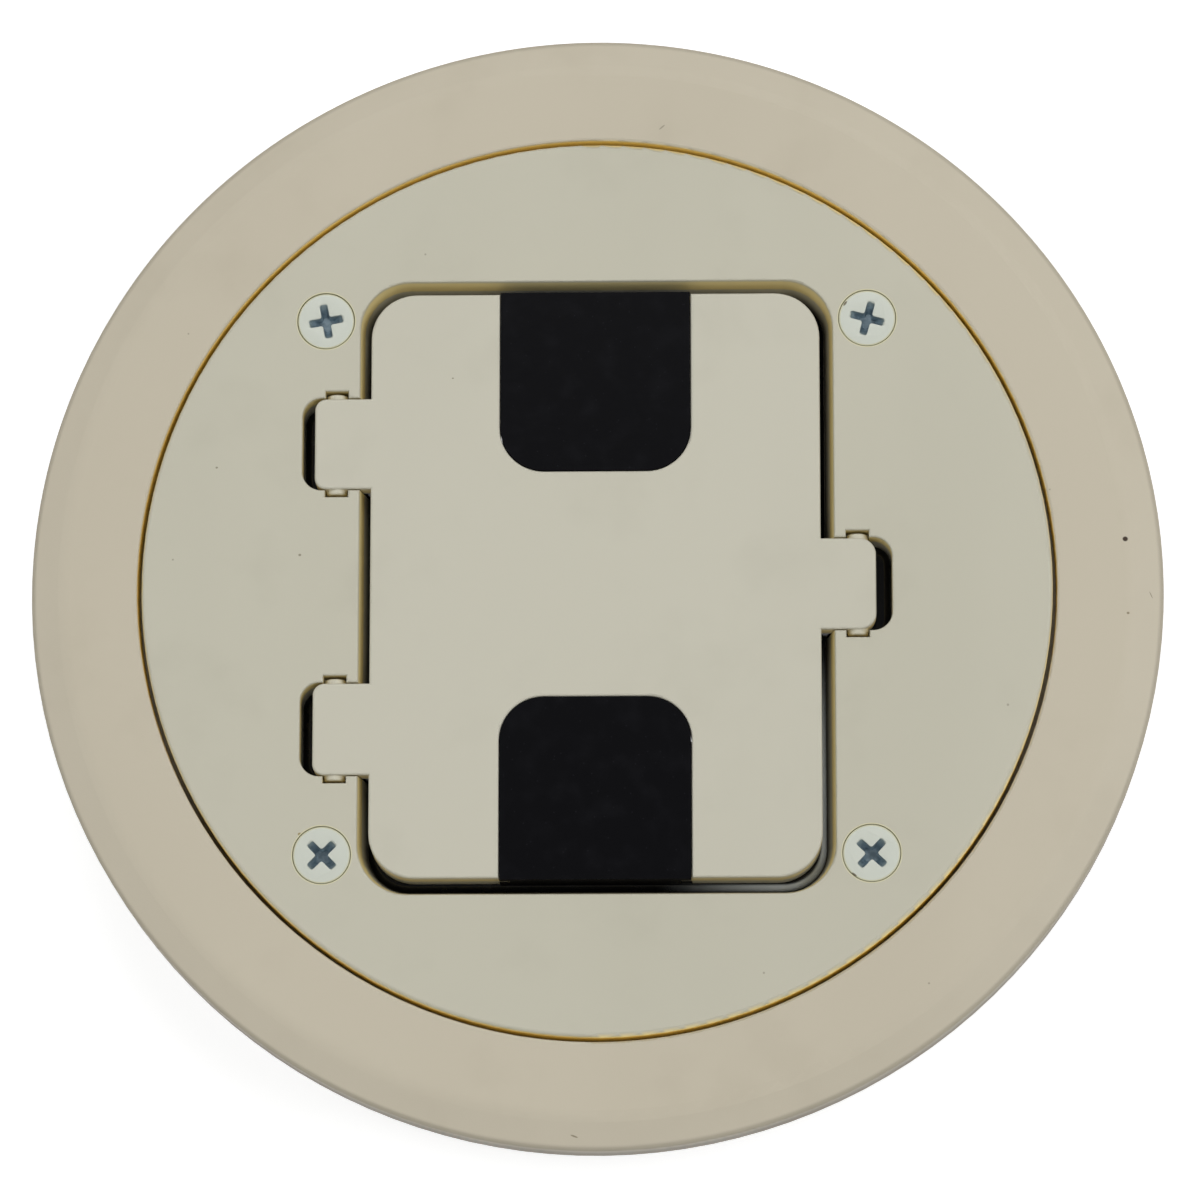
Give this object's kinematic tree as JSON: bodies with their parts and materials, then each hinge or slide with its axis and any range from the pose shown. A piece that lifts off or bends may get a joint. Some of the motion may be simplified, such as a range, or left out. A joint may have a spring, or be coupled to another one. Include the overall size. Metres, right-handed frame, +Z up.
{
  "type": "floor box cover",
  "caption": "Round flush floor box cover: bevelled trim ring, screwed cover plate, hinged flip lid with slide-in cord exit plugs and rubber seals.",
  "frame": {"origin": "on the cover's axis, in the plane of the floor that the trim ring lies on", "axes": "+Z up out of the floor, +Y along the long side of the lid, -X towards the lid's hinge"},
  "size_m": [0.1396, 0.1396, 0.0191],
  "materials": {
    "ring_plastic": "fine moulded satin, almond",
    "plate_plastic": "fine moulded satin, almond",
    "lid_plastic": "fine moulded satin, almond",
    "black_plastic": "satin moulded, black",
    "rubber": "smooth black rubber",
    "foam": "closed-cell foam, dark grey",
    "painted_screw": "pale painted head, bare zinc recess and thread",
    "fibre": "red-brown vulcanised fibre"
  },
  "bodies": {
    "cover": {"trim_ring": "ring_plastic", "ring_foam": "foam", "seat_gasket": "rubber", "cover_plate": "plate_plastic", "lid_gasket": "rubber", "cover_screw_far_left": "painted_screw", "cover_screw_far_right": "painted_screw", "cover_screw_near_left": "painted_screw", "cover_screw_near_right": "painted_screw", "screw_washer_far_left": "fibre", "screw_washer_far_right": "fibre", "screw_washer_near_left": "fibre", "screw_washer_near_right": "fibre"},
    "lid": {"lid": "lid_plastic", "cord_plug_near": "black_plastic", "cord_plug_far": "black_plastic"}
  },
  "joints": [
    {"name": "lid_hinge", "type": "hinge", "parent": "cover", "child": "lid", "pos_m": [-0.03216, 0, 0.00475], "axis": [0, -1, 0], "range_deg": [0, 125]}
  ]
}
